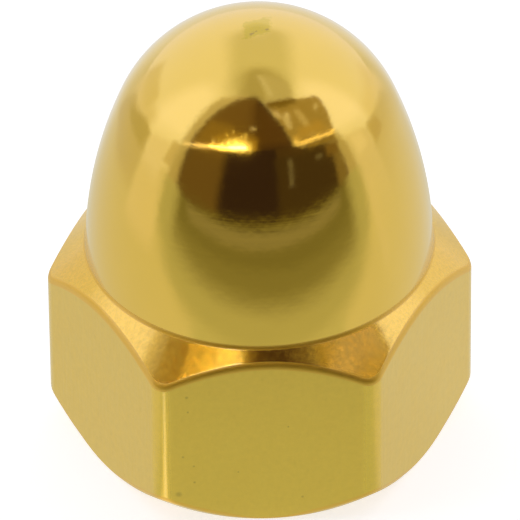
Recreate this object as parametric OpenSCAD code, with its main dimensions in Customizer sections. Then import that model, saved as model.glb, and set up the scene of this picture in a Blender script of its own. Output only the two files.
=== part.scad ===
// Cap nut, turned in one piece from hexagon bar and gold anodised: a hexagon for the spanner,
// chamfered above and below, a closed dome on top, and a blind threaded hole from below.
// The origin is the centre of the bearing face. +Z runs up the thread's axis to the tip of the
// dome, and two of the flats face +Y and -Y. Lengths are in millimetres.

/* [Hexagon] */
// Width across the flats
across_flats = 8; // [7:0.1:9.5]
// Height of the hexagon, from the bearing face up to the dome's foot
hexagon_h = 4.48; // [3.4:0.02:5.2]
// Rounding radius of the upright corners
corner_r = 0.5; // [0.1:0.05:1]
// How far the lower chamfer cuts into the bearing face from each flat
foot_chamfer_w = 0.05; // [0.02:0.01:0.5]
// Slope of the lower chamfer, up from the bearing face
foot_chamfer_slope = 45; // [25:1:50]
// Slope of the upper chamfer, which runs down and out from the dome's foot
top_chamfer_slope = 45; // [25:1:50]

/* [Dome] */
// Overall height, from the bearing face to the tip
total_h = 10; // [9:0.1:12]
// How far the dome stands in from the flats
dome_inset = 0.275; // [0.1:0.025:0.7]
// How far below the dome's foot the side arc has its centre
side_arc_drop = 0.28; // [0:0.02:1]
// How much smaller the nose's radius is than the dome's
nose_step = 0.5; // [0.3:0.05:1]
// Diameter of the tiny flat at the tip
tip_d = 0.6; // [0.2:0.1:1.2]

/* [Thread] */
// Nominal diameter of the thread
thread_d = 5; // [4:0.5:6]
// Pitch of the thread
thread_pitch = 0.8; // [0.5:0.05:1]
// How much wider the countersunk mouth is than the thread
mouth_margin = 0.5; // [0.2:0.05:0.9]
// Cone angle of the countersink
mouth_angle = 110; // [90:5:120]
// Cone angle of the drill's point
drill_angle = 118; // [90:1:140]
// Metal left between the drill's point and the tip
roof_t = 1.6; // [0.8:0.1:3]

/* [Hidden] */
$fn = 48;
gold = [0.93, 0.73, 0.28];

// A metric thread's minor diameter is its nominal diameter less this many pitches
minor_pitches = 1.0825;
// Steps along each arc of the dome
arc_steps = 20;
// How far a cutting shape runs past the face that it cuts
past = 0.5;

// Hexagon
flat_r = across_flats / 2;
corner_reach = (flat_r - corner_r) / cos(30) + corner_r;
rim_r = corner_reach + past;
foot_r = flat_r - foot_chamfer_w;

// Dome: a side arc that runs smoothly into the ball of the nose
dome_r = flat_r - dome_inset;
nose_r = dome_r - nose_step;
nose_z = total_h - sqrt(nose_r ^ 2 - (tip_d / 2) ^ 2);
side_arc_z = hexagon_h - side_arc_drop;
side_arc_r = (dome_r ^ 2 + (nose_z - side_arc_z) ^ 2 - nose_r ^ 2) / (2 * nose_step);
foot_angle = asin(side_arc_drop / side_arc_r);
dome_foot_r = dome_r - side_arc_r * (1 - cos(foot_angle));
blend_angle = asin((nose_z - side_arc_z) / (side_arc_r - nose_r));
tip_angle = acos(tip_d / 2 / nose_r);

// Hole: the wall stands at the thread's minor diameter
bore_r = (thread_d - minor_pitches * thread_pitch) / 2;
mouth_r = (thread_d + mouth_margin) / 2;
mouth_depth = (mouth_r - bore_r) / tan(mouth_angle / 2);
drill_point_h = bore_r / tan(drill_angle / 2);
bore_top_z = total_h - roof_t - drill_point_h;

// Points along an arc in the half section, from one angle towards the other, without the last
function arc(x, z, r, from, to) =
    [for (i = [0 : arc_steps - 1])
        let (a = from + (to - from) * i / arc_steps)
        [x + r * cos(a), z + r * sin(a)]];

// The hexagon bar, with its corners rounded
module bar() {
    translate([0, 0, -past])
        linear_extrude(total_h + 2 * past)
            offset(r = corner_r)
                circle(r = (flat_r - corner_r) / cos(30), $fn = 6);
}

// What the lathe leaves: the foot and its chamfer, the upper chamfer and the dome
module turned_form() {
    rotate_extrude()
        polygon(concat(
            [
                [0, 0],
                [foot_r, 0],
                [rim_r, (rim_r - foot_r) * tan(foot_chamfer_slope)],
                [rim_r, hexagon_h - (rim_r - dome_foot_r) * tan(top_chamfer_slope)],
            ],
            arc(dome_r - side_arc_r, side_arc_z, side_arc_r, foot_angle, blend_angle),
            arc(0, nose_z, nose_r, blend_angle, tip_angle),
            [
                [tip_d / 2, total_h],
                [0, total_h],
            ]
        ));
}

// The blind hole: a countersunk mouth, the wall for the thread, and the cone of the drill's point
module hole() {
    rotate_extrude()
        polygon([
            [0, -past],
            [mouth_r, -past],
            [mouth_r, 0],
            [bore_r, mouth_depth],
            [bore_r, bore_top_z],
            [0, bore_top_z + drill_point_h],
        ]);
}

module cap_nut() {
    color(gold) difference() {
        intersection() {
            bar();
            turned_form();
        }
        hole();
    }
}

cap_nut();
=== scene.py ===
"""A gold anodised cap nut on a pale floor, inside a light tent.

The nut is turned in one piece from hexagon bar: a polished dome, turned chamfers, satin flats
and a blind M5 thread. Lengths are metres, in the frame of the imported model, and millimetres
inside the finishes.
"""

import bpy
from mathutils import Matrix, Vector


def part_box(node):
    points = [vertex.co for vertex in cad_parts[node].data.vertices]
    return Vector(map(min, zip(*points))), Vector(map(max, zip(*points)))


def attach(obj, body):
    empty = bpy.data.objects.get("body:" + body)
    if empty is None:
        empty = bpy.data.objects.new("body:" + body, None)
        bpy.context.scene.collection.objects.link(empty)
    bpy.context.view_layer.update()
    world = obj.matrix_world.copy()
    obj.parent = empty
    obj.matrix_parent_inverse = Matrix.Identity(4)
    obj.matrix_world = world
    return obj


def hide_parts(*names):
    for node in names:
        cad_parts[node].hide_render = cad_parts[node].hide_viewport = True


bl_info = {
    "name": "Cap Nut",
    "version": (1, 0, 0),
    "blender": (4, 5, 0),
    "location": "3D View > Sidebar > Cap Nut",
    "description": "Builds a gold anodised cap nut with its turned finishes, its thread and a light tent",
    "category": "Add Mesh",
}

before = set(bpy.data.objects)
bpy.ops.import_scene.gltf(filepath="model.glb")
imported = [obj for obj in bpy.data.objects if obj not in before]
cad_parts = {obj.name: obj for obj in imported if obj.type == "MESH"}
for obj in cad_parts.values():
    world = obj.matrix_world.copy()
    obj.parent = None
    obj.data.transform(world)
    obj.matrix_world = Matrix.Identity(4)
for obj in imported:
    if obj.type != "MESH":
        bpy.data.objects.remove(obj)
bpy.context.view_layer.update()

from collections import namedtuple

import bmesh
import bpy
import numpy as np
from bpy.props import FloatProperty, FloatVectorProperty, IntProperty, PointerProperty
from mathutils import Euler, Vector

NUT_LOW, NUT_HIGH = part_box("cap_nut")
MM = 0.001
TURN = 2 * np.pi

# A metric thread's minor diameter is its nominal diameter less this many pitches
MINOR_PITCHES = 1.0825
# Pitches over which the thread runs out above its reach
RUN_OUT_PITCHES = 1.5


# ---------------------------------------------------------------- properties


def length(name, description, default):
    """A length in metres, shown in the scene's unit."""
    return FloatProperty(
        name=name, description=description, default=default, min=0, unit="LENGTH", precision=5
    )


def angle(name, description, degrees):
    """An angle, given in degrees and kept in radians."""
    return FloatProperty(
        name=name, description=description, default=np.radians(degrees), subtype="ANGLE"
    )


def share(name, description, default):
    """A number from 0 to 1."""
    return FloatProperty(name=name, description=description, default=default, min=0, max=1)


def colour(name, description, default):
    """A linear colour."""
    return FloatVectorProperty(
        name=name, description=description, default=default, size=3, min=0, subtype="COLOR"
    )


class CapNutSizes(bpy.types.PropertyGroup):
    """Sizes of the nut"""

    across_flats: length("Across flats", "Width across the flats", NUT_HIGH.y - NUT_LOW.y)
    total_h: length("Height", "From the bearing face to the tip", NUT_HIGH.z - NUT_LOW.z)
    hexagon_h: length("Hexagon height", "From the bearing face to the dome's foot", 4.48 * MM)
    corner_r: length("Corner rounding", "Rounding radius of the upright corners", 0.5 * MM)
    foot_chamfer_w: length("Foot chamfer", "How far it cuts into the bearing face", 0.05 * MM)
    chamfer_slope: angle("Chamfer slope", "Slope of both chamfers", 45)
    dome_inset: length("Dome inset", "How far the dome stands in from the flats", 0.275 * MM)
    side_arc_drop: length("Side arc drop", "Side arc's centre below the dome's foot", 0.28 * MM)
    nose_step: length("Nose step", "How much smaller the nose's radius is", 0.5 * MM)
    tip_d: length("Tip flat", "Diameter of the tiny flat at the tip", 0.6 * MM)
    thread_d: length("Thread diameter", "Nominal diameter of the thread", 5 * MM)
    thread_pitch: length("Thread pitch", "Rise of the thread in one turn", 0.8 * MM)
    thread_reach: length("Thread reach", "Height of the last full thread", 5.6 * MM)
    mouth_margin: length("Mouth margin", "How much wider the countersink is", 0.5 * MM)
    mouth_angle: angle("Mouth angle", "Cone angle of the countersink", 110)
    drill_angle: angle("Drill angle", "Cone angle of the drill's point", 118)
    roof_t: length("Roof", "Metal between the drill's point and the tip", 1.6 * MM)


class CapNutEdges(bpy.types.PropertyGroup):
    """Small roundings where two faces of the nut meet"""

    rim: length("Rim", "Between the flats and the chamfers", 0.24 * MM)
    foot: length("Foot", "Between the foot chamfer and the bearing face", 0.08 * MM)
    seam: length("Seam", "In the corner between the top chamfer and the dome", 0.14 * MM)
    mouth: length("Mouth", "Between the bearing face and the countersink", 0.04 * MM)
    columns: IntProperty(
        name="Columns", description="Steps round the axis, in twelves", default=456, min=48, step=12
    )


class CapNutFinish(bpy.types.PropertyGroup):
    """Colours and gloss of the anodised metal"""

    dome_gold: colour("Dome", "Reflection of the polished dome", (0.95, 0.67, 0.11))
    turned_gold: colour("Chamfers", "Reflection of the turned bands", (0.97, 0.64, 0.085))
    flat_gold: colour("Flats", "Reflection of the satin flats", (0.94, 0.68, 0.10))
    thread_gold: colour("Thread", "Reflection inside the hole", (0.86, 0.57, 0.12))
    # The worn corner's lighter colour is a painted highlight
    wear_glint_gold: colour("Worn corner", "Reflection of the corner that is worn", (1.0, 0.76, 0.20))
    # The tip patch's colour is painted shade
    tip_shade_gold: colour("Tip mark", "Reflection of the mark on the tip", (0.80, 0.59, 0.05))
    dome_roughness: share("Dome roughness", "Roughness of the polished dome", 0.10)
    turned_roughness: share("Chamfer roughness", "Roughness of the turned bands", 0.18)
    flat_roughness: share("Flat roughness", "Roughness of the flats", 0.38)
    coat_ior: FloatProperty(
        name="Oxide gloss", description="Refractive index of the clear oxide", default=1.6, min=1
    )


class CapNutStage(bpy.types.PropertyGroup):
    """The camera, the light tent and the floor"""

    camera_azimuth: angle("Camera azimuth", "Round the nut, from its front flat", -1.72)
    camera_elevation: angle("Camera elevation", "Above the floor", 38.19)
    camera_roll: angle("Camera roll", "Lean of the camera", -0.6)
    camera_distance: length("Camera distance", "From the point it looks at", 192.2 * MM)
    camera_lens: FloatProperty(name="Lens", description="Focal length in mm", default=621.8)
    aim_x: FloatProperty(
        name="Aim across", description="Point looked at, across", default=0.008 * MM, unit="LENGTH"
    )
    aim_z: length("Aim height", "Height of the point looked at", 3.907 * MM)
    tent_r: length("Tent radius", "Radius of the light tent", 0.6)
    floor_r: length("Floor radius", "Radius of the floor", 0.55)
    floor_gap: length("Floor gap", "Floor below the bearing face", 0.01 * MM)
    opening_r: length("Floor opening", "Radius of the opening under the nut", 3.85 * MM)
    mirror_z: length("Mirror height", "Height that the floor's light is laid out from", 6.5 * MM)
    wall_light: colour("Walls", "Light of the tent's walls", (0.90, 0.87, 0.92))
    ceiling_light: colour("Ceiling", "Light of the tent's ceiling", (0.48, 0.45, 0.34))
    floor_light: colour("Floor light", "Light of the floor as the metal shows it", (0.68, 0.64, 0.50))
    floor_colour: colour("Floor", "Colour of the floor", (0.8, 0.8, 0.8))
    floor_lift: colour("Floor lift", "What whitens the floor for the camera", (0.65, 0.67, 0.71))


# ---------------------------------------------------------------- the nut's form


# Finishes, as the order of the nut's material slots
DOME, TURNED, FLATS, FACED, THREAD, TIP, EDGE = range(7)

# A corner of the half section: its radius and height, its rounding with the steps along it and
# their finish, and the finish of the stretch that follows with the steps along that
Corner = namedtuple("Corner", "r z rounding steps edge finish stretch")


def rim_radius(sizes, around):
    """Distance from the axis to the side of the rounded hexagon at each angle around it."""
    flat_r = sizes.across_flats / 2
    round_centre = (flat_r - sizes.corner_r) / np.cos(np.pi / 6)
    from_flat = np.abs(around % (np.pi / 3) - np.pi / 6)
    from_corner = np.pi / 6 - from_flat
    flat_end = np.arctan((flat_r - sizes.corner_r) * np.tan(np.pi / 6) / flat_r)
    on_flat = flat_r / np.cos(from_flat)
    reach = sizes.corner_r**2 - (round_centre * np.sin(from_corner)) ** 2
    on_corner = round_centre * np.cos(from_corner) + np.sqrt(np.maximum(reach, 0))
    return np.where(from_flat < flat_end, on_flat, on_corner)


def unit(vectors):
    """The vectors at a length of one."""
    return vectors / np.linalg.norm(vectors, axis=-1, keepdims=True)


def rounded_rows(corners, columns):
    """Rows of points (radius, height) for each column along a half section with rounded corners.

    Each rounding is an arc with a guard row on either side, which keeps the shading of the
    straight stretches even. Returns the rows and the finish between each row and the next.
    """
    places = [np.stack(np.broadcast_arrays(c.r, c.z, np.zeros(columns))[:2], axis=-1) for c in corners]
    rows, finishes = [places[0]], []
    for index in range(1, len(corners) - 1):
        corner, place = corners[index], places[index]
        inward, outward = place - places[index - 1], places[index + 1] - place
        # A rounding and its guard row stay within half of the shorter stretch beside them
        room = 0.45 * np.minimum(np.linalg.norm(inward, axis=-1), np.linalg.norm(outward, axis=-1))
        inward, outward = unit(inward), unit(outward)
        bend = np.arccos(np.clip((inward * outward).sum(-1), -1, 1))
        side = np.sign(inward[:, 0] * outward[:, 1] - inward[:, 1] * outward[:, 0])
        across = np.stack([-inward[:, 1] * side, inward[:, 0] * side], axis=-1)
        tangent = np.minimum(corner.rounding * np.tan(bend / 2), room)
        radius = tangent / np.tan(bend / 2)
        guard = np.minimum(0.4 * tangent, room - 0.9 * tangent)[:, None]
        start = place - inward * tangent[:, None]
        end = place + outward * tangent[:, None]
        arc = []
        for step in range(corner.steps + 1):
            turned = bend * step / corner.steps
            along = (radius * np.sin(turned))[:, None] * inward
            arc.append(start + along + (radius * (1 - np.cos(turned)))[:, None] * across)
        last_finish = corners[index - 1].finish
        steps = corners[index - 1].stretch
        begin = rows[-1]
        for step in range(1, steps + 1):
            rows.append(begin + (start - inward * guard - begin) * step / steps)
            finishes.append(last_finish)
        rows.extend(arc)
        finishes.extend([last_finish] + [corner.edge] * corner.steps)
        rows.append(end + outward * guard)
        finishes.append(corner.finish)
    rows.append(places[-1])
    finishes.append(corners[-2].finish)
    return rows, finishes


def dome_rows(sizes, columns):
    """Rows of the dome from its foot to its tip: a side arc that runs smoothly into the nose."""
    dome_r = sizes.across_flats / 2 - sizes.dome_inset
    nose_r = dome_r - sizes.nose_step
    tip_r = sizes.tip_d / 2
    nose_z = sizes.total_h - np.sqrt(nose_r**2 - tip_r**2)
    arc_z = sizes.hexagon_h - sizes.side_arc_drop
    arc_r = (dome_r**2 + (nose_z - arc_z) ** 2 - nose_r**2) / (2 * sizes.nose_step)
    foot = np.arcsin(sizes.side_arc_drop / arc_r)
    blend = np.arcsin((nose_z - arc_z) / (arc_r - nose_r))
    tip = np.arccos(tip_r / nose_r)
    step = np.radians(1.25)
    side = np.linspace(foot, blend, round((blend - foot) / step) + 1)
    nose = np.linspace(blend, tip, round((tip - blend) / step) + 1)[1:]
    points = [(dome_r - arc_r + arc_r * np.cos(a), arc_z + arc_r * np.sin(a)) for a in side]
    points += [(nose_r * np.cos(a), nose_z + nose_r * np.sin(a)) for a in nose]
    return [np.tile(point, (columns, 1)) for point in points]


def minor_radius(sizes):
    """Radius of the hole's wall, at the crests of the thread."""
    return (sizes.thread_d - MINOR_PITCHES * sizes.thread_pitch) / 2


def mouth_radius(sizes):
    """Radius of the countersink at the bearing face."""
    return (sizes.thread_d + sizes.mouth_margin) / 2


def thread_groove(place):
    """Depth of a metric thread's groove, 0 at the crest and 1 at the root, along one pitch."""
    from_crest = np.abs((place + 0.5) % 1 - 0.5)
    return np.clip((from_crest - 1 / 8) / (1 / 2 - 1 / 8 - 1 / 16), 0, 1)


def bore_radius(sizes, around, height):
    """Radius of the hole: the countersink, the thread that runs out, and the plain wall."""
    minor_r = minor_radius(sizes)
    past_reach = height - sizes.thread_reach
    run_out = np.clip(past_reach / (RUN_OUT_PITCHES * sizes.thread_pitch), 0, 1)
    groove = thread_groove(height / sizes.thread_pitch - around / TURN)
    threaded = minor_r + (sizes.thread_d / 2 - minor_r) * np.maximum(groove - run_out, 0)
    countersunk = mouth_radius(sizes) - height * np.tan(sizes.mouth_angle / 2)
    return np.maximum(threaded, countersunk)


def ring(rows, around):
    """Turns rows of (radius, height) for each column into points in space."""
    return [
        np.stack([row[:, 0] * np.cos(around), row[:, 0] * np.sin(around), row[:, 1]], axis=-1)
        for row in rows
    ]


def nut_mesh(sizes, edges):
    """The nut's mesh: rings of points from the countersink over the outside to the tip, and from
    the countersink up the thread to the point left by the drill."""
    columns = edges.columns
    around = np.arange(columns) * TURN / columns
    rim_r = rim_radius(sizes, around)
    slope = np.tan(sizes.chamfer_slope)
    foot_r = sizes.across_flats / 2 - sizes.foot_chamfer_w
    minor_r = minor_radius(sizes)
    mouth_r = mouth_radius(sizes)
    lip_h = 0.12 * MM
    lip_r = mouth_r - lip_h * np.tan(sizes.mouth_angle / 2)
    dome = dome_rows(sizes, columns)
    dome_foot_r = dome[0][0, 0]
    above = dome[1][0]
    corners = [
        Corner(lip_r, lip_h, 0, 0, FACED, FACED, 1),
        Corner(mouth_r, 0, edges.mouth, 4, FACED, FACED, 4),
        Corner(foot_r, 0, edges.foot, 5, TURNED, TURNED, 1),
        Corner(rim_r, (rim_r - foot_r) * slope, edges.rim, 6, EDGE, FLATS, 8),
        Corner(rim_r, sizes.hexagon_h - (rim_r - dome_foot_r) * slope, edges.rim, 8, EDGE, TURNED, 3),
        Corner(dome_foot_r, sizes.hexagon_h, edges.seam, 6, EDGE, DOME, 1),
        Corner(above[0], above[1], 0, 0, DOME, DOME, 1),
    ]
    rows, finishes = rounded_rows(corners, columns)
    rows += dome[2:]
    finishes += [DOME] * (len(rows) - 1 - len(finishes))
    tip_row = rows[-1].copy()
    tip_row[:, 0] *= 0.5
    rows.append(tip_row)
    finishes.append(TIP)
    outside = ring(rows, around)
    outside.append(np.array([[0, 0, sizes.total_h]]))

    inner_around = around[::2]
    drill_point_h = minor_r / np.tan(sizes.drill_angle / 2)
    bore_top_z = sizes.total_h - sizes.roof_t - drill_point_h
    thread_end = sizes.thread_reach + RUN_OUT_PITCHES * sizes.thread_pitch
    thread_step = 0.04 * MM
    heights = np.arange(lip_h + thread_step, thread_end, thread_step)
    inner_rows = [
        np.stack([bore_radius(sizes, inner_around, h), np.full(len(inner_around), h)], axis=-1)
        for h in heights
    ]
    # The plain wall above the thread, and the cone left by the drill's point
    for r, z in (
        (minor_r, thread_end + 0.05 * MM),
        (minor_r, bore_top_z - 0.02 * MM),
        (minor_r - 0.01 * MM, bore_top_z),
        (minor_r * 0.6, bore_top_z + drill_point_h * 0.4),
        (minor_r * 0.2, bore_top_z + drill_point_h * 0.8),
    ):
        inner_rows.append(np.tile((r, z), (len(inner_around), 1)))
    inside = ring(inner_rows, inner_around)
    inside.append(np.array([[0, 0, bore_top_z + drill_point_h]]))

    points = np.concatenate(outside + inside)
    faces, slots = [], []

    def add_band(low, high, count, slot):
        """Quads between two rings that start at the given points."""
        for i in range(count):
            j = (i + 1) % count
            faces.append((low + i, low + j, high + j, high + i))
            slots.append(slot)

    def add_fan(low, centre, count, slot):
        """Triangles from a ring to a point on the axis."""
        for i in range(count):
            faces.append((low + i, low + (i + 1) % count, centre))
            slots.append(slot)

    for row, finish in enumerate(finishes):
        add_band(row * columns, (row + 1) * columns, columns, finish)
    last_ring = len(finishes) * columns
    tip_point = last_ring + columns
    add_fan(last_ring, tip_point, columns, TIP)
    inner_start = tip_point + 1
    half = columns // 2
    for i in range(half):
        j = (i + 1) % half
        faces.append((2 * i, 2 * i + 1, (2 * i + 2) % columns, inner_start + j, inner_start + i))
        slots.append(THREAD)
    for row in range(len(inner_rows) - 1):
        start = inner_start + row * half
        add_band(start, start + half, half, THREAD)
    add_fan(inner_start + (len(inner_rows) - 1) * half, len(points) - 1, half, THREAD)

    mesh = bpy.data.meshes.new("cap_nut_body")
    mesh.from_pydata(points.tolist(), [], faces)
    mesh.polygons.foreach_set("material_index", slots)
    work = bmesh.new()
    work.from_mesh(mesh)
    bmesh.ops.recalc_face_normals(work, faces=work.faces)
    work.to_mesh(mesh)
    work.free()
    mesh.shade_smooth()
    return mesh


# ---------------------------------------------------------------- the nut's finishes


class Nodes:
    """Writes a node tree. Each call adds nodes, sets or links their inputs, and returns what
    comes out of the last one; add returns the node itself."""

    def __init__(self, tree):
        self.tree = tree
        tree.nodes.clear()

    def add(self, kind, inputs=None, **settings):
        node = self.tree.nodes.new(kind)
        for name, value in settings.items():
            setattr(node, name, value)
        for name, value in (inputs or {}).items():
            if isinstance(value, bpy.types.NodeSocket):
                self.tree.links.new(value, node.inputs[name])
            else:
                node.inputs[name].default_value = value
        return node

    def maths(self, operation, *values):
        return self.add("ShaderNodeMath", dict(enumerate(values)), operation=operation).outputs[0]

    def noise(self, place, scale, detail=2, roughness=0.5):
        inputs = {"Vector": place, "Scale": scale, "Detail": detail, "Roughness": roughness}
        return self.add("ShaderNodeTexNoise", inputs).outputs["Fac"]

    def between(self, value, low, high, to_low=0.0, to_high=1.0):
        """Maps a range onto another, held at its ends."""
        inputs = {"Value": value, "From Min": low, "From Max": high, "To Min": to_low, "To Max": to_high}
        return self.add("ShaderNodeMapRange", inputs).outputs["Result"]

    def stretched(self, place, scale):
        inputs = {0: place, 1: scale}
        return self.add("ShaderNodeVectorMath", inputs, operation="MULTIPLY").outputs[0]

    def tinted(self, amount, first, second):
        """A colour between two, by amount."""
        inputs = {"Factor": amount, "A": (*first, 1), "B": (*second, 1)}
        return self.add("ShaderNodeMix", inputs, data_type="RGBA").outputs["Result"]

    def mixed(self, amount, base, other):
        """A colour from a socket, covered by another, by amount."""
        inputs = {"Factor": amount, "A": base, "B": (*other, 1)}
        return self.add("ShaderNodeMix", inputs, data_type="RGBA").outputs["Result"]

    def bumped(self, height, distance, strength=1.0, normal=None):
        inputs = {"Height": height, "Distance": distance, "Strength": strength}
        if normal is not None:
            inputs["Normal"] = normal
        return self.add("ShaderNodeBump", inputs).outputs[0]

    def apart(self, across, along, at_across, at_along):
        """Distance in a plane from a point of it."""
        gap_across = self.maths("POWER", self.maths("SUBTRACT", across, at_across), 2.0)
        gap_along = self.maths("POWER", self.maths("SUBTRACT", along, at_along), 2.0)
        return self.maths("SQRT", self.maths("ADD", gap_across, gap_along))

    def in_millimetres(self):
        """Place on the nut, in millimetres."""
        place = self.add("ShaderNodeTexCoord").outputs["Object"]
        return self.stretched(place, (1000, 1000, 1000))

    def on_the_lathe(self):
        """Distance from the axis, height, and the two places across the axis, in millimetres."""
        x, y, z = self.add("ShaderNodeSeparateXYZ", {0: self.in_millimetres()}).outputs
        squares = self.maths("ADD", self.maths("POWER", x, 2.0), self.maths("POWER", y, 2.0))
        return self.maths("SQRT", squares), z, x, y

    def rings(self, radius, z, scale, detail, roughness):
        """Cuts that run round the axis."""
        place = self.add("ShaderNodeCombineXYZ", {0: radius, 1: z, 2: 0.0}).outputs[0]
        return self.noise(place, scale, detail, roughness)


def shade(colour, factor):
    """A colour made darker or lighter."""
    return tuple(channel * factor for channel in colour)


def anodised(name, finish, write, lathe_grain=0.0):
    """A material of gold anodised aluminium under its clear oxide. write adds the finish: it is
    given the node writer and returns the colour, the roughness and the normal. lathe_grain draws
    reflections out across cuts that run round the axis."""
    material = bpy.data.materials.new(name)
    material.use_nodes = True
    nodes = Nodes(material.node_tree)
    base, roughness, normal = write(nodes)
    shader = nodes.add(
        "ShaderNodeBsdfPrincipled",
        {
            "Base Color": base,
            "Roughness": roughness,
            "Normal": normal,
            "Metallic": 1.0,
            "Coat Weight": 1.0,
            "Coat IOR": finish.coat_ior,
            "Coat Roughness": 0.08,
            "Anisotropic": lathe_grain,
            "Anisotropic Rotation": 0.25,
        },
    )
    if lathe_grain:
        around = nodes.add("ShaderNodeTangent", direction_type="RADIAL", axis="Z")
        nodes.tree.links.new(around.outputs[0], shader.inputs["Tangent"])
    nodes.add("ShaderNodeOutputMaterial", {"Surface": shader.outputs[0]})
    return material


# The patch on the tip, rougher and darker in a painted shade, in millimetres: the height above which
# it is drawn, how far behind the axis its middle lies, how far back it leans for each step to the
# right, half its width and half its depth, and the width of its soft edge
MARK_ABOVE_Z = 9
MARK_Y = 0.16
MARK_LEAN = 0.35
MARK_HALF_W = 0.25
MARK_HALF_D = 0.26
MARK_SOFT = 0.06
# Dark specks on the tip: place across it and radius, in millimetres
TIP_SPECKS = ((-0.13, -0.09, 0.05), (-0.05, 0.0, 0.04), (0.21, 0.08, 0.045))


def tip_shade_and_specks(nodes):
    """The small slanted patch on the tip, a little rougher and painted darker as shade: how much of it
    each point has, and the few dark specks along its near side."""
    z, x, y = nodes.on_the_lathe()[1:]
    ragged = nodes.between(nodes.noise(nodes.in_millimetres(), 12, 2), 0.3, 0.7, -0.05, 0.05)
    slant = nodes.maths("SUBTRACT", y, nodes.maths("MULTIPLY", x, MARK_LEAN))
    across = nodes.maths("ABSOLUTE", nodes.maths("ADD", x, ragged))
    along = nodes.maths("ABSOLUTE", nodes.maths("ADD", nodes.maths("SUBTRACT", slant, MARK_Y), ragged))
    near_top = nodes.maths("GREATER_THAN", z, MARK_ABOVE_Z)
    within_w = nodes.between(across, MARK_HALF_W, MARK_HALF_W + MARK_SOFT, 1, 0)
    within_d = nodes.between(along, MARK_HALF_D, MARK_HALF_D + MARK_SOFT, 1, 0)
    rough_and_shaded = nodes.maths("MULTIPLY", near_top, nodes.maths("MULTIPLY", within_w, within_d))
    specks = 0.0
    for speck_x, speck_y, size in TIP_SPECKS:
        gap = nodes.apart(x, y, speck_x, speck_y)
        spot = nodes.between(nodes.maths("ADD", gap, ragged), size * 0.4, size * 1.2, 1, 0)
        specks = nodes.maths("MAXIMUM", specks, nodes.maths("MULTIPLY", near_top, spot))
    return rough_and_shaded, specks


def polished_dome(finish):
    """Mirror polish: faint turning rings, a slight waviness, and the tip's patch of painted shade."""

    def write(nodes):
        radius, z = nodes.on_the_lathe()[:2]
        place = nodes.in_millimetres()
        rings = nodes.rings(radius, z, 14, 3, 0.6)
        clouds = nodes.noise(place, 1.3, 3)
        ripples = nodes.noise(place, 5, 2)
        normal = nodes.bumped(rings, 0.4e-6)
        normal = nodes.bumped(clouds, 6e-6, 1.0, normal)
        normal = nodes.bumped(ripples, 0.9e-6, 1.0, normal)
        base = nodes.tinted(clouds, shade(finish.dome_gold, 0.97), shade(finish.dome_gold, 1.02))
        roughness = nodes.between(
            rings, 0.3, 0.7, finish.dome_roughness * 0.8, finish.dome_roughness * 1.2
        )
        rough_and_shaded, specks = tip_shade_and_specks(nodes)
        # The tip's patch is painted darker: painted shade in the colour
        base = nodes.mixed(rough_and_shaded, base, finish.tip_shade_gold)
        base = nodes.mixed(specks, base, shade(finish.dome_gold, 0.6))
        roughness = nodes.maths("ADD", roughness, nodes.maths("MULTIPLY", rough_and_shaded, 0.06))
        return base, roughness, normal

    return anodised("polished_dome", finish, write)


def turned_band(finish):
    """Fine cuts of the lathe tool round the axis, with short scratches across them."""

    def write(nodes):
        radius, z = nodes.on_the_lathe()[:2]
        place = nodes.in_millimetres()
        cuts = nodes.rings(radius, z, 22, 4, 0.7)
        grain = nodes.noise(nodes.stretched(place, (9, 9, 5)), 1, 1)
        normal = nodes.bumped(cuts, 1e-6)
        normal = nodes.bumped(grain, 1.2e-6, 1.0, normal)
        scratches = nodes.noise(nodes.stretched(place, (16, 16, 5)), 1, 3, 0.65)
        scratches = nodes.between(scratches, 0.35, 0.65)
        base = nodes.tinted(scratches, shade(finish.turned_gold, 0.94), shade(finish.turned_gold, 1.05))
        roughness = nodes.between(
            grain, 0.3, 0.7, finish.turned_roughness * 0.7, finish.turned_roughness * 1.3
        )
        return base, roughness, normal

    return anodised("turned_band", finish, write, lathe_grain=1.0)


# Pits seen on the front flat: place along it, height and radius, in millimetres
PITS = (
    (-1.69, 3.42, 0.035),
    (-1.67, 3.02, 0.025),
    (-1.79, 1.80, 0.028),
    (-1.56, 1.54, 0.025),
    (-1.55, 1.10, 0.030),
    (-1.89, 0.78, 0.07),
    (0.74, 0.62, 0.03),
    (0.45, 2.55, 0.022),
    (-0.62, 1.35, 0.02),
)


# Where the front left corner is worn and painted lighter as a highlight line, along the front flat, in
# millimetres
WEAR_GLINT_X = -2.17
# Distances from the axis over which a flat passes into the smoother corner, in millimetres
CORNER_START_R = 4.47
CORNER_FULL_R = 4.51


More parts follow.
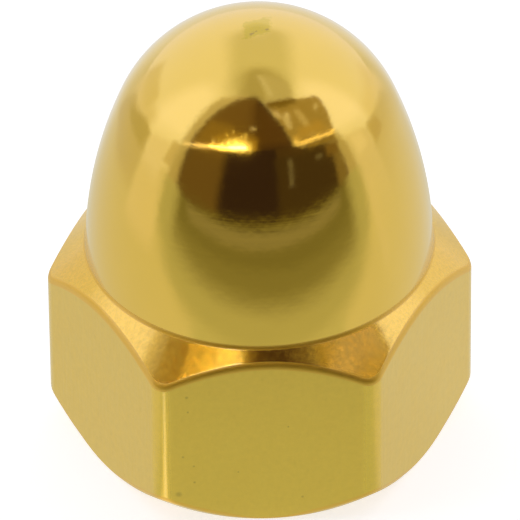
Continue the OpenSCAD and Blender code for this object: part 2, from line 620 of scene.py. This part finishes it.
def satin_flat(finish):
    """The drawn bar's flats: a fine mottled satin with short upright marks and pits, smoother
    round the corners, one of which is worn, with a painted highlight along it."""

    def write(nodes):
        radius, z, x, y = nodes.on_the_lathe()
        place = nodes.in_millimetres()
        grain = nodes.noise(place, 18, 5, 0.7)
        mottle = nodes.noise(place, 7, 3, 0.6)
        streaks = nodes.noise(nodes.stretched(place, (9, 9, 0.6)), 1, 3, 0.6)
        blotches = nodes.noise(place, 2.2, 3, 0.6)
        cells = nodes.add(
            "ShaderNodeTexVoronoi", {"Vector": nodes.stretched(place, (4, 4, 2)), "Scale": 1.0}
        )
        marks = nodes.between(cells.outputs["Distance"], 0.06, 0.20, 0.5, 0.0)
        front = nodes.maths("LESS_THAN", y, 0.0)
        pits = 0.0
        for pit_x, pit_z, size in PITS:
            gap = nodes.apart(x, z, pit_x, pit_z)
            pit = nodes.between(gap, size * 0.4, size * 1.3, 1, 0)
            pits = nodes.maths("MAXIMUM", pits, nodes.maths("MULTIPLY", pit, front))
        relief = nodes.maths("ADD", nodes.maths("MULTIPLY", grain, 0.5), streaks)
        relief = nodes.maths("SUBTRACT", relief, nodes.maths("MULTIPLY", pits, 0.8))
        normal = nodes.bumped(relief, 6e-6)
        lightness = nodes.maths("MULTIPLY", mottle, 0.5)
        lightness = nodes.maths("ADD", lightness, nodes.maths("MULTIPLY", grain, 0.3))
        lightness = nodes.maths("ADD", lightness, nodes.maths("MULTIPLY", blotches, 0.2))
        base = nodes.tinted(lightness, shade(finish.flat_gold, 0.86), shade(finish.flat_gold, 1.10))
        base = nodes.mixed(nodes.maths("MULTIPLY", marks, 0.35), base, shade(finish.flat_gold, 0.8))
        base = nodes.mixed(nodes.maths("MULTIPLY", pits, 0.7), base, shade(finish.flat_gold, 0.62))
        corner = nodes.between(radius, CORNER_START_R, CORNER_FULL_R)
        off_line = nodes.maths("ABSOLUTE", nodes.maths("SUBTRACT", x, WEAR_GLINT_X))
        wear_and_glint = nodes.between(off_line, 0.012, 0.045, 1, 0)
        wear_and_glint = nodes.maths("MULTIPLY", nodes.maths("MULTIPLY", wear_and_glint, front), corner)
        wear_and_glint = nodes.maths("MULTIPLY", wear_and_glint, nodes.between(grain, 0.35, 0.6, 0.6, 1.0))
        # The worn corner's line is painted lighter, a painted highlight; its roughness is lowered below
        # as well
        base = nodes.mixed(wear_and_glint, base, finish.wear_glint_gold)
        roughness = nodes.between(
            blotches, 0.3, 0.7, finish.flat_roughness * 0.9, finish.flat_roughness * 1.1
        )
        roughness = nodes.maths("MULTIPLY", roughness, nodes.between(corner, 0, 1, 1.0, 0.6))
        roughness = nodes.maths("MULTIPLY", roughness, nodes.between(wear_and_glint, 0, 1, 1.0, 0.6))
        return base, roughness, normal

    return anodised("satin_flat", finish, write)


def faced_ring(finish):
    """The bearing face: rings left by the facing cut."""

    def write(nodes):
        radius, z = nodes.on_the_lathe()[:2]
        place = nodes.in_millimetres()
        facing = nodes.add("ShaderNodeCombineXYZ", {0: radius, 1: 0.0, 2: z}).outputs[0]
        cuts = nodes.noise(facing, 16, 3, 0.7)
        grain = nodes.noise(place, 14, 4, 0.6)
        normal = nodes.bumped(cuts, 5e-6)
        normal = nodes.bumped(grain, 2e-6, 1.0, normal)
        base = nodes.tinted(grain, shade(finish.turned_gold, 0.88), shade(finish.turned_gold, 1.02))
        roughness = nodes.between(cuts, 0.3, 0.7, 0.22, 0.36)
        return base, roughness, normal

    return anodised("faced_ring", finish, write)


def cut_thread(finish):
    """The thread and the hole: cut metal under the dye, with a streaky grain in its tone and roughness.
    """

    def write(nodes):
        place = nodes.in_millimetres()
        grain = nodes.noise(nodes.stretched(place, (3, 3, 14)), 1.5, 4, 0.6)
        normal = nodes.bumped(grain, 4e-6)
        base = nodes.tinted(grain, shade(finish.thread_gold, 0.8), shade(finish.thread_gold, 1.05))
        roughness = nodes.between(grain, 0.3, 0.7, 0.26, 0.4)
        return base, roughness, normal

    return anodised("cut_thread", finish, write)


def tip_spot(finish):
    """The tiny flat at the tip, with its patch of painted shade and its dark specks."""

    def write(nodes):
        place = nodes.in_millimetres()
        grain = nodes.noise(place, 10, 4, 0.6)
        rough_and_shaded, specks = tip_shade_and_specks(nodes)
        normal = nodes.bumped(grain, 1e-6)
        base = nodes.tinted(grain, shade(finish.dome_gold, 0.97), shade(finish.dome_gold, 1.02))
        # The tip's patch is painted darker: painted shade in the colour
        base = nodes.mixed(rough_and_shaded, base, finish.tip_shade_gold)
        base = nodes.mixed(specks, base, shade(finish.dome_gold, 0.6))
        return base, nodes.between(rough_and_shaded, 0, 1, finish.dome_roughness, 0.16), normal

    return anodised("tip_spot", finish, write)


def soft_edge(finish):
    """The edges of the hexagon and the corner at the dome's foot: dulled by the deburring."""

    def write(nodes):
        place = nodes.in_millimetres()
        grain = nodes.noise(place, 12, 3, 0.6)
        normal = nodes.bumped(grain, 1e-6)
        base = nodes.tinted(grain, shade(finish.turned_gold, 0.96), shade(finish.turned_gold, 1.03))
        roughness = nodes.between(
            grain, 0.3, 0.7, finish.turned_roughness * 2.6, finish.turned_roughness * 3
        )
        return base, roughness, normal

    return anodised("soft_edge", finish, write)


class CAPNUT_OT_body(bpy.types.Operator):
    """Builds the cap nut in one piece, with a finish for each of its faces"""

    bl_idname = "capnut.body"
    bl_label = "Cap Nut"

    def execute(self, context):
        settings = context.scene
        finish = settings.cap_nut_finish
        mesh = nut_mesh(settings.cap_nut_sizes, settings.cap_nut_edges)
        for make in (
            polished_dome, turned_band, satin_flat, faced_ring, cut_thread, tip_spot, soft_edge
        ):
            mesh.materials.append(make(finish))
        nut = bpy.data.objects.new("cap_nut_body", mesh)
        settings.collection.objects.link(nut)
        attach(nut, "root")
        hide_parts("cap_nut")
        return {"FINISHED"}


# ---------------------------------------------------------------- the stage


# A patch of light round the nut: its corners as (azimuth, elevation) in degrees, anticlockwise as
# seen from outside the tent, the width of its soft edges, and its light. Azimuth 0 is in front of
# the nut and 90 at its right; elevations below zero lie on the floor.
Patch = namedtuple("Patch", "corners soft light")


def speck(azimuth, elevation, light):
    """A spot of light, one degree of azimuth by one of elevation."""
    left, right, low, high = azimuth - 0.5, azimuth + 0.5, elevation - 0.5, elevation + 0.5
    return Patch(((left, low), (right, low), (right, high), (left, high)), 0.4, light)


# Elevation about which the tent's walls fade into its ceiling, and the width of that fade
CEILING_ELEVATION = 75
CEILING_FADE = 24


ROOF_PATCHES = (
    # The side walls, brightest beside the camera
    Patch(((-108, 12), (-70, 26), (-70, 60), (-108, 60)), 16, (1.04, 1.01, 1.25)),
    Patch(((70, 30), (106, 12), (108, 60), (70, 60)), 14, (1.04, 1.01, 1.27)),
    # The roof's flat strip, which runs to the back
    Patch(((-77, 73), (79, 68), (164, 33), (-167, 35)), 13, (0.70, 0.68, 0.60)),
    # The cloth overhead: dim over the opening, paler at its right, with a pale fold between
    Patch(((-43, 70), (60, 62), (110, 70), (172, 73), (-142, 74)), 13, (0.46, 0.425, 0.29)),
    Patch(((20, 74), (60, 62), (99, 69), (159, 80)), 5, (0.545, 0.51, 0.42)),
    Patch(((38, 78.5), (51, 76), (159, 81.5), (-173, 82)), 3, (0.63, 0.605, 0.575)),
)

FOLD_PATCHES = (
    # Where the walls' cloth lies over the floor at either side: shaded above the fold, dim below
    Patch(((-142, -6), (-104, 4), (-104, 18), (-142, 8)), 10, (0.79, 0.73, 0.66)),
    Patch(((-142, -16), (-98, -12), (-98, 9), (-107, 9.5), (-136, -4)), 4, (0.61, 0.555, 0.425)),
    Patch(((-132, -6), (-102, -3), (-101, 8), (-109, 9)), 3.5, (0.53, 0.475, 0.30)),
    Patch(((-142, 1), (-116, 8), (-116, 20), (-142, 13)), 6, (0.75, 0.69, 0.58)),
    Patch(((-97, -16), (-71, -17), (-72, 4), (-97, -2)), 5, (0.76, 0.70, 0.61)),
    Patch(((-97, -5), (-79, -4), (-80, 18), (-97, 11)), 5, (0.83, 0.775, 0.79)),
    Patch(((-79.5, 5), (-72, 5), (-70, 23), (-79, 21)), 3, (0.64, 0.565, 0.45)),
    Patch(((106, 0), (140, -8), (140, 8), (106, 16)), 10, (0.84, 0.78, 0.71)),
    Patch(((97, -14), (142, -16), (134, -5), (112, 7), (97, 10)), 4, (0.66, 0.605, 0.49)),
    Patch(((99, -3), (113, -3), (112, 4), (100, 10)), 3, (0.58, 0.50, 0.34)),
    Patch(((77, -25), (97, -14), (97, 11), (77, 21)), 4, (0.76, 0.70, 0.65)),
    Patch(((81, 4), (92, 4), (92, 13), (81, 18)), 5, (0.85, 0.79, 0.79)),
)

OPENING_PATCHES = (
    # The hem round the opening that the camera looks through
    Patch(((-73.5, -8), (77, -8), (77, 20), (71, 34), (-70, 33)), 5, (0.505, 0.445, 0.315)),
    Patch(((-71, 22), (-40, 22), (-40, 80), (-81, 61)), 5, (0.57, 0.505, 0.40)),
    # The dark room beyond it: nearly black in the middle, brown at the left and the right
    Patch(
        ((-62, -3), (38, -4), (33, 41), (18, 74), (-14, 80.5), (-46, 76), (-64, 61), (-65, 30)),
        5,
        (0.035, 0.02, 0.02),
    ),
    Patch(((12, -3), (66.5, -4), (68, 24), (50, 33), (12, 38)), 5, (0.060, 0.039, 0.021)),
    Patch(((58, -3), (66.5, -3), (68, 20), (61, 20)), 4, (0.22, 0.165, 0.075)),
    Patch(((21.5, 9), (24.5, 9), (27.5, 30), (23.5, 30)), 2, (0.15, 0.13, 0.12)),
    Patch(((-63, -3), (-31, -3), (-31, 35), (-64, 28)), 9, (0.145, 0.094, 0.038)),
    # Brown cloth above, lit by the lamp at the left
    Patch(((-65, 28), (-5, 40), (-2, 79.5), (-45, 77), (-64, 62)), 5, (0.165, 0.103, 0.04)),
    Patch(((-9, 40), (33, 38), (31, 60), (18, 74), (-12, 80)), 12, (0.10, 0.055, 0.022)),
    Patch(((-63, 29), (-30, 37), (-30, 54), (-63, 50)), 7, (0.25, 0.165, 0.05)),
    Patch(
        ((-53, 30), (-23, 36), (-3, 36.5), (-3, 49), (-22, 51.5), (-38, 48), (-51, 38)),
        5,
        (0.35, 0.22, 0.045),
    ),
    Patch(((-11, 55), (-6, 55), (-6, 57), (-12, 57)), 2, (0.66, 0.58, 0.55)),
    # The bright box at the upper right, with its pale stripes, and the shelf below it
    Patch(((44, 31.5), (70, 24.5), (72, 28), (44, 35)), 2.5, (0.24, 0.17, 0.055)),
    Patch(((56, 20), (66, 17), (71, 24), (58, 27)), 3, (0.19, 0.125, 0.045)),
    Patch(((47, 22), (53, 21.5), (53, 24), (47, 24.5)), 2, (0.16, 0.14, 0.13)),
    Patch(((33, 40), (43, 36), (72, 30), (70, 64.5), (20, 73.5)), 3, (0.37, 0.28, 0.125)),
    Patch(((45, 36), (73, 30), (82, 39), (91, 50), (62, 67.5), (45, 55)), 3, (0.37, 0.28, 0.125)),
    Patch(((19, 70.5), (45, 66), (71, 61), (72, 64.7), (22, 74.3)), 2.5, (0.19, 0.13, 0.03)),
    Patch(((29, 62), (35, 60), (34, 66), (28, 68)), 2, (0.68, 0.60, 0.58)),
    Patch(((34, 52), (39, 50), (47, 59), (45, 62), (35, 61)), 3, (0.62, 0.55, 0.49)),
    Patch(((40, 59), (47, 59), (46, 62), (41, 62)), 2, (0.75, 0.67, 0.62)),
    Patch(((51, 39), (58, 38), (62, 58), (55, 60), (52, 50)), 3, (0.55, 0.46, 0.33)),
    Patch(((75, 47), (82, 47.5), (83, 50), (76, 50)), 2, (0.66, 0.58, 0.50)),
    Patch(((35, 41), (41, 39), (42, 44), (36, 45)), 3, (0.60, 0.44, 0.18)),
    # The lamps: the small one at the box's lower corner, and the large one at the left
    Patch(((33.5, 38.5), (38, 35.8), (40, 39), (35, 42.5)), 2, (1.1, 0.88, 0.52)),
    Patch(((-48, 37.5), (-45, 38), (-46, 40), (-49, 39.5)), 1.5, (0.75, 0.62, 0.45)),
    Patch(((-17, 46), (-13, 46), (-15, 52), (-18, 52)), 2, (0.85, 0.65, 0.30)),
    Patch(((-70.5, 23.8), (-30, 36.3), (-30, 38.6), (-70.5, 25.6)), 1.6, (1.15, 0.98, 0.9)),
    Patch(
        ((-44, 34), (-22, 37), (-8, 38.5), (-8, 44), (-15, 47), (-24, 48.5), (-36, 44)),
        3,
        (0.92, 0.74, 0.32),
    ),
    Patch(((-46, 33.8), (-9, 39), (-9, 42.3), (-17, 45.2), (-24, 45.2)), 2, (1.3, 1.08, 0.5)),
    Patch(
        ((-31, 37.6), (-20, 38.2), (-13, 39.3), (-13, 42), (-17, 43), (-24, 42.5), (-30, 40)),
        2.2,
        (3.4, 2.9, 1.9),
    ),
    # Its sparks
    speck(-46, 38.5, (3.0, 2.5, 1.1)),
    speck(-42.5, 41, (2.2, 1.9, 0.8)),
    speck(-38, 39.6, (4.5, 3.9, 1.8)),
    speck(-37, 46.5, (3.6, 3.0, 1.3)),
    speck(-32.5, 42, (5.5, 4.8, 2.5)),
    speck(-31, 50.5, (3.2, 2.7, 1.2)),
    speck(-27, 46, (4.0, 3.5, 1.8)),
    speck(-24, 43.5, (6.5, 5.7, 3.2)),
    speck(-20.5, 49, (4.2, 3.6, 1.9)),
    # The warm lower part of the box
    Patch(((41, 41), (70, 34), (70, 42), (44, 48)), 6, (0.46, 0.325, 0.115)),
)

FLOOR_PATCHES = (
    # The floor behind, the dim stretch from the nut to the opening, and the dark table outside
    Patch(((146, -30), (-146, -30), (-150, 4), (150, 4)), 20, (0.80, 0.78, 0.73)),
    Patch(((75, -60), (140, -40), (140, -8), (78, -8)), 20, (0.71, 0.67, 0.54)),
    Patch(((-66, -14.8), (72, -14.3), (77, -8), (77, 2), (-74, 2), (-73.5, -8)), 8, (0.48, 0.475, 0.325)),
    Patch(((-41, -51), (41, -51), (45, -28), (-38, -28)), 8, (0.55, 0.55, 0.39)),
    Patch(((-60, -9.5), (62, -12.8), (66, 2), (-60, 2)), 10, (0.24, 0.225, 0.11)),
    Patch(((-58, -5.5), (60, -7.5), (64, 2), (-58, 2)), 4, (0.195, 0.18, 0.08)),
    Patch(((-50, -4.6), (54, -4.4), (58, -1.8), (-54, -1.8)), 2, (0.285, 0.26, 0.17)),
    Patch(((-60, -1.0), (64, -1.0), (64, 2), (-60, 2)), 1.5, (0.12, 0.095, 0.035)),
    # The bright spot of the floor that the worn corner with its painted highlight shows
    Patch(((-33, -57), (-27.5, -57), (-27.5, -35.5), (-33, -35.5)), 3, (1.05, 0.92, 0.68)),
)


# Cards so near the nut that its chamfer sees them higher up than its dome does: their corners,
# as the dome sees them, their distance from the dome in millimetres, and their light
Card = namedtuple("Card", "corners reach light")

NEAR_CARDS = (
    # The lamp, from its core to its long tail, and the bright lower edge of the box
    Card(((-31, 38.4), (-14, 40.2), (-14, 41.7), (-31, 39.4)), 30, (12, 10.5, 7.5)),
    Card(((-48, 33.6), (-31, 37.8), (-31, 38.8), (-48, 34.3)), 30, (15, 11.5, 5.5)),
    Card(((-62, 28.3), (-48, 33.5), (-48, 34.0), (-62, 28.7)), 30, (4.5, 3.3, 1.8)),
    Card(((39, 36), (74, 27.8), (74, 30), (39, 38.2)), 30, (1.45, 1.1, 0.6)),
    # The dark between them
    Card(((-9, 31), (14, 31), (14, 38.5), (-9, 38.5)), 15, (0.035, 0.02, 0.02)),
    Card(((14, 31.5), (39, 29), (39, 35.2), (14, 38.5)), 15, (0.07, 0.043, 0.022)),
)


def soft_step(value, soft):
    """0 below zero, 1 above it, with a smooth change of the given width."""
    t = np.clip(value / soft + 0.5, 0, 1)
    return t * t * (3 - 2 * t)


def direction(azimuth, elevation):
    """Unit vectors for directions in degrees."""
    a, e = np.broadcast_arrays(np.radians(azimuth), np.radians(elevation))
    return np.stack([np.sin(a) * np.cos(e), -np.cos(a) * np.cos(e), np.sin(e)], axis=-1)


def patch_cover(patch, towards):
    """How much a patch covers each direction, from 0 to 1. Its edges are straight in space."""
    corners = direction(*np.array(patch.corners).T)
    cover = np.ones(len(towards))
    for corner, following in zip(corners, np.roll(corners, -1, axis=0)):
        inward = unit(np.cross(corner, following))
        cover *= soft_step(np.degrees(np.arcsin(np.clip(towards @ inward, -1, 1))), patch.soft)
    return cover


def covered(light, patches, towards):
    """Light with patches laid over it, one after another."""
    for patch in patches:
        cover = patch_cover(patch, towards)[:, None]
        light = light * (1 - cover) + np.array(patch.light) * cover
    return light


def tent_light(stage, towards):
    """Light of the tent in each direction: walls that fade into the ceiling, with their patches."""
    elevation = np.degrees(np.arcsin(towards[:, 2]))
    fade = soft_step(elevation - CEILING_ELEVATION, CEILING_FADE)[:, None]
    walls = np.array(stage.wall_light) * (1 - fade) + np.array(stage.ceiling_light) * fade
    return covered(walls, ROOF_PATCHES + FOLD_PATCHES + OPENING_PATCHES, towards)


def floor_light(stage, towards):
    """The floor as the metal shows it, in each direction below the dome."""
    plain = np.tile(np.array(stage.floor_light), (len(towards), 1))
    return covered(plain, FOLD_PATCHES + FLOOR_PATCHES, towards)


def lit_mesh(name, points, faces, light):
    """A mesh with a colour at each point, which its material shows as light."""
    mesh = bpy.data.meshes.new(name)
    mesh.from_pydata(points.tolist(), [], faces)
    attribute = mesh.attributes.new("light", "FLOAT_COLOR", "POINT")
    attribute.data.foreach_set("color", np.column_stack([light, np.ones(len(light))]).ravel())
    return mesh


def grid_faces(rows, columns, first=0):
    """Quads between rows of points that close round the axis."""
    return [
        (
            first + row * columns + i,
            first + (row + 1) * columns + i,
            first + (row + 1) * columns + (i + 1) % columns,
            first + row * columns + (i + 1) % columns,
        )
        for row in range(rows - 1)
        for i in range(columns)
    ]


def glow(name, mesh):
    """Gives a mesh a material that shows the light at its points, and returns the material."""
    material = bpy.data.materials.new(name)
    material.use_nodes = True
    nodes = Nodes(material.node_tree)
    light = nodes.add("ShaderNodeAttribute", attribute_name="light").outputs["Color"]
    emission = nodes.add("ShaderNodeEmission", {"Color": light})
    nodes.add("ShaderNodeOutputMaterial", {"Surface": emission.outputs[0]})
    mesh.materials.append(material)
    return material


def tent(stage):
    """The light tent: a sphere round the nut, which the camera looks through."""
    rows, columns = 221, 440
    azimuth, elevation = np.meshgrid(
        np.arange(columns) * 360 / columns, np.linspace(-90, 90, rows)
    )
    towards = direction(azimuth.ravel(), elevation.ravel())
    light = tent_light(stage, towards)
    mesh = lit_mesh("light_tent", towards * stage.tent_r, grid_faces(rows, columns), light)
    glow("lit_cloth", mesh).cycles.emission_sampling = "NONE"
    cloth = bpy.data.objects.new("light_tent", mesh)
    cloth.visible_camera = False
    cloth.visible_shadow = False
    return cloth


def near_cards():
    """The near cards, lit or dark, seen in the metal alone."""
    points, light = [], []
    for card in NEAR_CARDS:
        azimuth, elevation = np.array(card.corners, dtype=float).T
        # The places on the front of the dome that mirror them, in millimetres
        x, y, z = 0.0225 * azimuth, 1e-4 * azimuth**2 - 2.5, np.full(len(azimuth), 8.8)
        mirrored_at = np.stack([x, y, z], axis=-1)
        points.extend((mirrored_at + direction(azimuth, elevation) * card.reach) * MM)
        light.extend([card.light] * len(azimuth))
    faces = [tuple(range(first, first + 4)) for first in range(0, len(points), 4)]
    mesh = lit_mesh("near_cards", np.array(points), faces, np.array(light, dtype=float))
    glow("card_glow", mesh)
    cards = bpy.data.objects.new("near_cards", mesh)
    cards.visible_camera = False
    cards.visible_diffuse = False
    cards.visible_shadow = False
    return cards


def floor(stage):
    """The pale floor. An opening in it below the nut lets light reach the underside, and the
    camera sees through it from below."""
    rows, columns = 80, 180
    radii = np.geomspace(stage.opening_r, stage.floor_r, rows)
    distance, azimuth = np.meshgrid(radii, np.arange(columns) * 360 / columns, indexing="ij")
    points = direction(azimuth.ravel(), 0) * distance.ravel()[:, None]
    towards = unit(points - np.array((0, 0, stage.mirror_z)))
    points[:, 2] = -stage.floor_gap
    light = floor_light(stage, towards)
    mesh = lit_mesh("floor", points, grid_faces(rows, columns), light)
    material = bpy.data.materials.new("pale_floor")
    material.use_nodes = True
    nodes = Nodes(material.node_tree)
    rays = nodes.add("ShaderNodeLightPath").outputs
    paint = nodes.add("ShaderNodeBsdfDiffuse", {"Color": (*stage.floor_colour, 1)})
    lift = nodes.add("ShaderNodeEmission", {"Color": (*stage.floor_lift, 1)})
    seen = nodes.add("ShaderNodeAddShader", {0: paint.outputs[0], 1: lift.outputs[0]})
    mirrored = nodes.add(
        "ShaderNodeEmission",
        {"Color": nodes.add("ShaderNodeAttribute", attribute_name="light").outputs["Color"]},
    )
    clear = nodes.add("ShaderNodeBsdfTransparent")
    back = nodes.add("ShaderNodeNewGeometry").outputs["Backfacing"]
    through = nodes.maths("MULTIPLY", back, rays["Is Camera Ray"])
    top = nodes.add(
        "ShaderNodeMixShader", {0: rays["Is Camera Ray"], 1: paint.outputs[0], 2: seen.outputs[0]}
    )
    top = nodes.add(
        "ShaderNodeMixShader",
        {0: rays["Is Glossy Ray"], 1: top.outputs[0], 2: mirrored.outputs[0]},
    )
    surface = nodes.add("ShaderNodeMixShader", {0: through, 1: top.outputs[0], 2: clear.outputs[0]})
    nodes.add("ShaderNodeOutputMaterial", {"Surface": surface.outputs[0]})
    mesh.materials.append(material)
    return bpy.data.objects.new("floor", mesh)


def camera(stage):
    """The camera, which looks down at the nut from its front."""
    data = bpy.data.cameras.new("camera")
    data.lens = stage.camera_lens
    data.clip_start = 0.01
    data.clip_end = 2
    seen_from = bpy.data.objects.new("camera", data)
    a, e = stage.camera_azimuth, stage.camera_elevation
    back = Vector((np.sin(a) * np.cos(e), -np.cos(a) * np.cos(e), np.sin(e)))
    aim = Vector((stage.aim_x, 0, stage.aim_z))
    seen_from.location = aim + back * stage.camera_distance
    turn = (-back).to_track_quat("-Z", "Y")
    roll = Euler((0, 0, stage.camera_roll)).to_quaternion()
    seen_from.rotation_mode = "QUATERNION"
    seen_from.rotation_quaternion = turn @ roll
    return seen_from


class CAPNUT_OT_stage(bpy.types.Operator):
    """Sets the camera, the pale floor, the light tent, the near cards and the white world"""

    bl_idname = "capnut.stage"
    bl_label = "Stage"

    def execute(self, context):
        scene = context.scene
        stage = scene.cap_nut_stage
        scene.view_settings.view_transform = "Standard"
        world = bpy.data.worlds.new("white_world")
        world.use_nodes = True
        nodes = Nodes(world.node_tree)
        background = nodes.add("ShaderNodeBackground", {"Color": (1, 1, 1, 1), "Strength": 1.0})
        nodes.add("ShaderNodeOutputWorld", {"Surface": background.outputs[0]})
        scene.world = world
        for thing in (floor(stage), tent(stage), near_cards()):
            scene.collection.objects.link(thing)
        scene.camera = camera(stage)
        scene.collection.objects.link(scene.camera)
        return {"FINISHED"}


# ---------------------------------------------------------------- the add-on


class CAPNUT_PT_panel(bpy.types.Panel):
    """Buttons and sizes of the cap nut"""

    bl_idname = "CAPNUT_PT_panel"
    bl_label = "Cap Nut"
    bl_space_type = "VIEW_3D"
    bl_region_type = "UI"
    bl_category = "Cap Nut"

    def draw(self, context):
        layout = self.layout
        layout.operator(CAPNUT_OT_body.bl_idname)
        layout.operator(CAPNUT_OT_stage.bl_idname)
        for name in ("cap_nut_sizes", "cap_nut_edges", "cap_nut_finish", "cap_nut_stage"):
            group = getattr(context.scene, name)
            box = layout.box()
            for item in group.__annotations__:
                box.prop(group, item)


GROUPS = {
    "cap_nut_sizes": CapNutSizes,
    "cap_nut_edges": CapNutEdges,
    "cap_nut_finish": CapNutFinish,
    "cap_nut_stage": CapNutStage,
}
CLASSES = (*GROUPS.values(), CAPNUT_OT_body, CAPNUT_OT_stage, CAPNUT_PT_panel)


def register():
    for cls in CLASSES:
        bpy.utils.register_class(cls)
    for name, group in GROUPS.items():
        setattr(bpy.types.Scene, name, PointerProperty(type=group))


def unregister():
    for name in GROUPS:
        delattr(bpy.types.Scene, name)
    for cls in reversed(CLASSES):
        bpy.utils.unregister_class(cls)


def main():
    register()
    bpy.ops.capnut.stage()
    bpy.ops.capnut.body()


if __name__ == "__main__":
    main()
